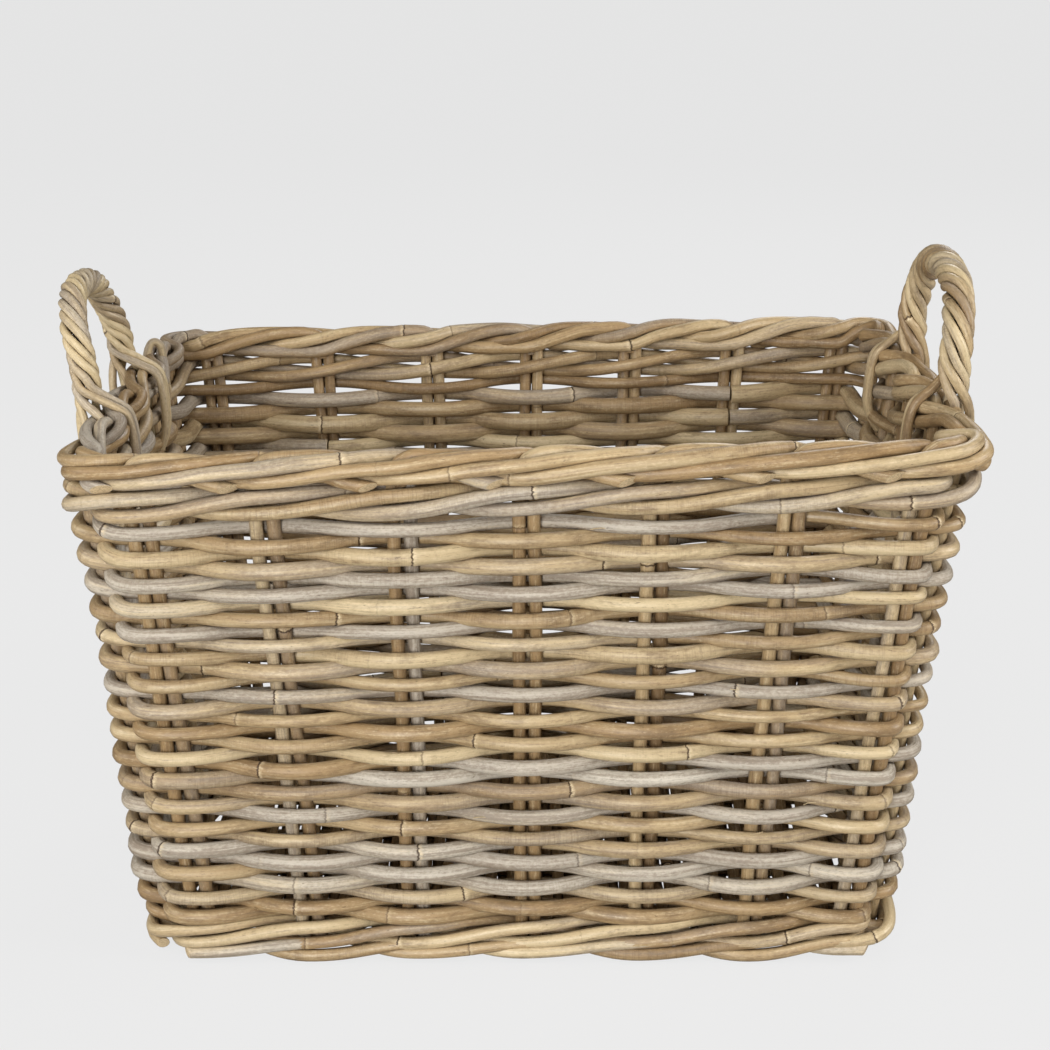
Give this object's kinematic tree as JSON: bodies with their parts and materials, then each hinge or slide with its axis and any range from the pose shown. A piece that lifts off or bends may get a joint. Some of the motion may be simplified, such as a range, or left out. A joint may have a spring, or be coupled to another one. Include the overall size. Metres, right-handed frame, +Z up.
{
  "type": "rattan basket",
  "caption": "Rectangular woven rattan storage basket with leaning walls, a roped rim border and an upright twisted-cane handle at each end.",
  "frame": {"origin": "centre of the footprint, on the floor that the foot stands on", "axes": "+X along the long side towards the end whose rim stands a little higher, +Y from the front wall to the back wall, +Z up"},
  "size_m": [0.6128, 0.4144, 0.4707],
  "materials": {
    "stake_cane": "unvarnished rattan, tan with a fine grain along the rods",
    "weaver_cane": "unvarnished rattan, straw to limewashed grey, matt with a slight sheen",
    "wale_cane": "unvarnished rattan, straw and grey rods mixed",
    "rim_cane": "unvarnished rattan, straw with pale cut ends",
    "handle_cane": "twisted rattan, straw to pale grey",
    "base_cane": "unvarnished rattan, tan"
  },
  "bodies": {
    "root": {"stake_pair_01": "stake_cane", "stake_pair_02": "stake_cane", "stake_pair_03": "stake_cane", "stake_pair_04": "stake_cane", "stake_pair_05": "stake_cane", "stake_pair_06": "stake_cane", "stake_pair_07": "stake_cane", "stake_pair_08": "stake_cane", "stake_pair_09": "stake_cane", "stake_pair_10": "stake_cane", "stake_pair_11": "stake_cane", "stake_pair_12": "stake_cane", "stake_pair_13": "stake_cane", "stake_pair_14": "stake_cane", "stake_pair_15": "stake_cane", "stake_pair_16": "stake_cane", "stake_pair_17": "stake_cane", "stake_pair_18": "stake_cane", "stake_pair_19": "stake_cane", "stake_pair_20": "stake_cane", "stake_pair_21": "stake_cane", "stake_pair_22": "stake_cane", "stake_pair_23": "stake_cane", "stake_pair_24": "stake_cane", "weaver_01": "weaver_cane", "weaver_02": "weaver_cane", "weaver_03": "weaver_cane", "weaver_04": "weaver_cane", "weaver_05": "weaver_cane", "weaver_06": "weaver_cane", "weaver_07": "weaver_cane", "weaver_08": "weaver_cane", "weaver_09": "weaver_cane", "weaver_10": "weaver_cane", "foot_wale_01": "wale_cane", "foot_wale_02": "wale_cane", "foot_wale_03": "wale_cane", "foot_hoop": "base_cane", "base_frame": "base_cane", "base_stick_01": "base_cane", "base_stick_02": "base_cane", "base_stick_03": "base_cane", "base_stick_04": "base_cane", "base_stick_05": "base_cane", "base_weaver": "base_cane", "rim_wale_01": "wale_cane", "rim_wale_02": "wale_cane", "rim_wale_03": "wale_cane", "rim_cane_01": "rim_cane", "rim_cane_02": "rim_cane", "rim_cane_03": "rim_cane", "handle_right_01": "handle_cane", "handle_right_02": "handle_cane", "handle_right_03": "handle_cane", "handle_right_04": "handle_cane", "handle_left_01": "handle_cane", "handle_left_02": "handle_cane", "handle_left_03": "handle_cane", "handle_left_04": "handle_cane"}
  },
  "joints": []
}
